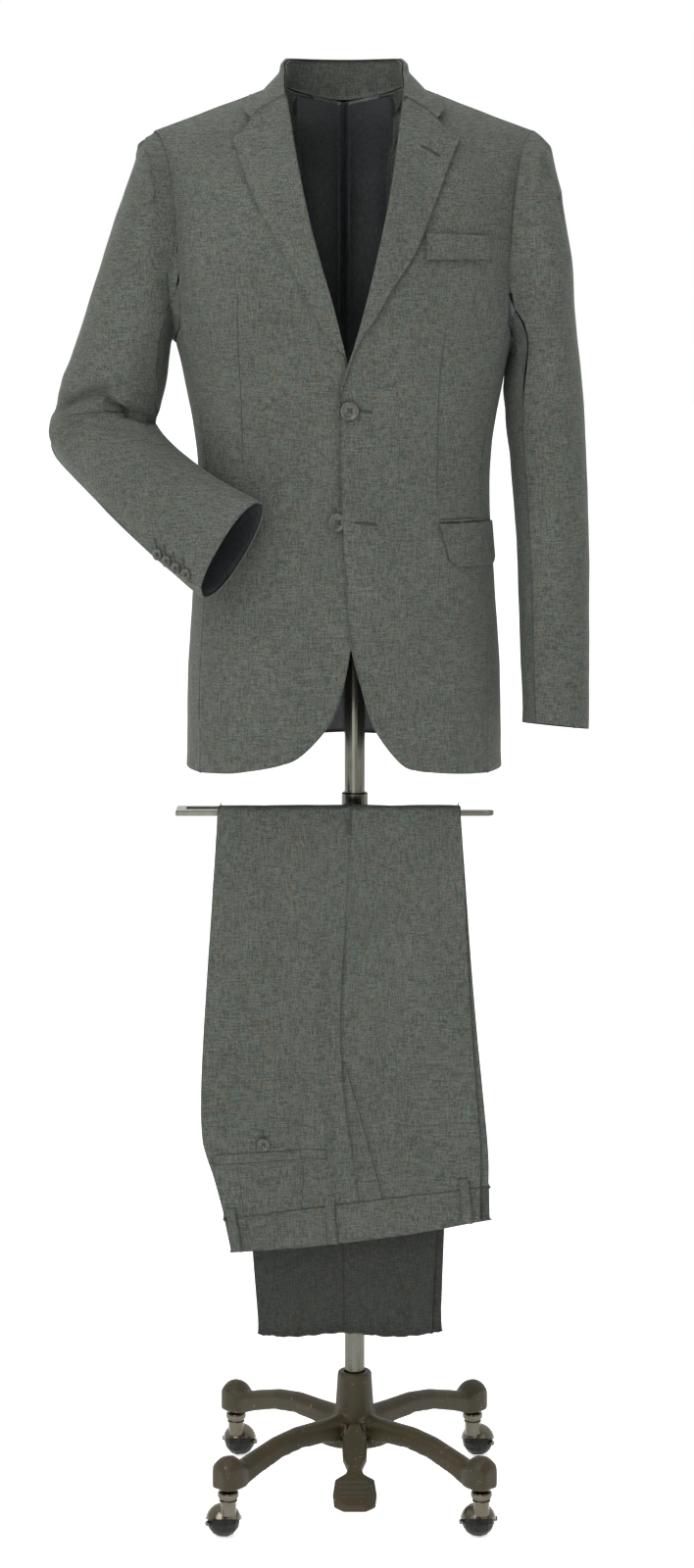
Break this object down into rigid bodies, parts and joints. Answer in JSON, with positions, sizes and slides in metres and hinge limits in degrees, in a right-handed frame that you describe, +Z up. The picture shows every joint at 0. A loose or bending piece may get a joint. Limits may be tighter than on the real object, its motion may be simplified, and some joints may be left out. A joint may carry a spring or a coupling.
{
  "type": "two-piece suit on a wheeled stand",
  "caption": "Tailored suit: a hollow jacket in its worn shape with notched lapels, above trousers folded over the rail of a pole stand that rolls on ball casters.",
  "frame": {"origin": "middle of the bounding box's base, on the floor", "axes": "+Z up, the wearer faces -Y and the wearer's left is +X"},
  "size_m": [0.6235, 0.3527, 1.6924],
  "materials": {
    "wool": "matt, fine grey-green weave",
    "horn": "satin, horn-like",
    "chrome": "worn chrome",
    "iron": "dark brown, worn",
    "nickel": "nickel-plated",
    "tread": "black, semi-gloss"
  },
  "bodies": {
    "suit_and_stand": {"back_left": "wool", "back_pocket_button_left": "horn", "back_pocket_button_right": "horn", "back_pocket_welt_left": "wool", "back_pocket_welt_right": "wool", "back_right": "wool", "base_casting": "iron", "belt_loop_back_left": "wool", "belt_loop_back_right": "wool", "belt_loop_front_left": "wool", "belt_loop_front_right": "wool", "belt_loop_side_left": "wool", "belt_loop_side_right": "wool", "breast_welt": "wool", "collar_leaf": "wool", "collar_stand": "wool", "cuff_button_left_1": "horn", "cuff_button_left_2": "horn", "cuff_button_left_3": "horn", "cuff_button_left_4": "horn", "cuff_button_right_1": "horn", "cuff_button_right_2": "horn", "cuff_button_right_3": "horn", "cuff_button_right_4": "horn", "flap_left": "wool", "flap_right": "wool", "front_button_fastened": "horn", "front_button_lower": "horn", "front_left": "wool", "front_right": "wool", "lapel_left": "wool", "lapel_right": "wool", "pole": "chrome", "side_left": "wool", "side_right": "wool", "topsleeve_left": "wool", "topsleeve_right": "wool", "trouser_back_left": "wool", "trouser_back_right": "wool", "trouser_front_left": "wool", "trouser_front_right": "wool", "trouser_rail": "chrome", "undersleeve_left": "wool", "undersleeve_right": "wool", "waistband_left": "wool", "waistband_right": "wool"},
    "pedal_lever": {"pedal": "iron"},
    "swivel_front_left": {"caster_front_left": "nickel"},
    "wheel_front_left": {"ball_front_left": "tread"},
    "swivel_front_right": {"caster_front_right": "nickel"},
    "wheel_front_right": {"ball_front_right": "tread"},
    "swivel_back_left": {"caster_back_left": "nickel"},
    "wheel_back_left": {"ball_back_left": "tread"},
    "swivel_back_right": {"caster_back_right": "nickel"},
    "wheel_back_right": {"ball_back_right": "tread"}
  },
  "joints": [
    {"name": "swivel_turn_front_left", "type": "hinge", "parent": "suit_and_stand", "child": "swivel_front_left", "pos_m": [0.18702, -0.14702, 0.06], "axis": [0, 0, 1], "continuous": true},
    {"name": "ball_roll_front_left", "type": "hinge", "parent": "swivel_front_left", "child": "wheel_front_left", "pos_m": [0.18391, -0.13543, 0.019], "axis": [-0.9659, -0.2588, 0], "continuous": true},
    {"name": "swivel_turn_front_right", "type": "hinge", "parent": "suit_and_stand", "child": "swivel_front_right", "pos_m": [-0.10502, -0.14702, 0.06], "axis": [0, 0, 1], "continuous": true},
    {"name": "ball_roll_front_right", "type": "hinge", "parent": "swivel_front_right", "child": "wheel_front_right", "pos_m": [-0.11102, -0.13663, 0.019], "axis": [-0.866, -0.5, 0], "continuous": true},
    {"name": "swivel_turn_back_left", "type": "hinge", "parent": "suit_and_stand", "child": "swivel_back_left", "pos_m": [0.18702, 0.14502, 0.06], "axis": [0, 0, 1], "continuous": true},
    {"name": "ball_roll_back_left", "type": "hinge", "parent": "swivel_back_left", "child": "wheel_back_left", "pos_m": [0.1939, 0.15485, 0.019], "axis": [-0.8192, 0.5736, 0], "continuous": true},
    {"name": "swivel_turn_back_right", "type": "hinge", "parent": "suit_and_stand", "child": "swivel_back_right", "pos_m": [-0.10502, 0.14502, 0.06], "axis": [0, 0, 1], "continuous": true},
    {"name": "ball_roll_back_right", "type": "hinge", "parent": "swivel_back_right", "child": "wheel_back_right", "pos_m": [-0.10091, 0.15629, 0.019], "axis": [-0.9397, 0.342, 0], "continuous": true},
    {"name": "pedal_press", "type": "hinge", "parent": "suit_and_stand", "child": "pedal_lever", "pos_m": [0.041, -0.0365, 0.094], "axis": [1, 0, 0], "range_deg": [0, 12], "stiffness_Nm_per_rad": 4, "springref_deg": -17.19}
  ]
}
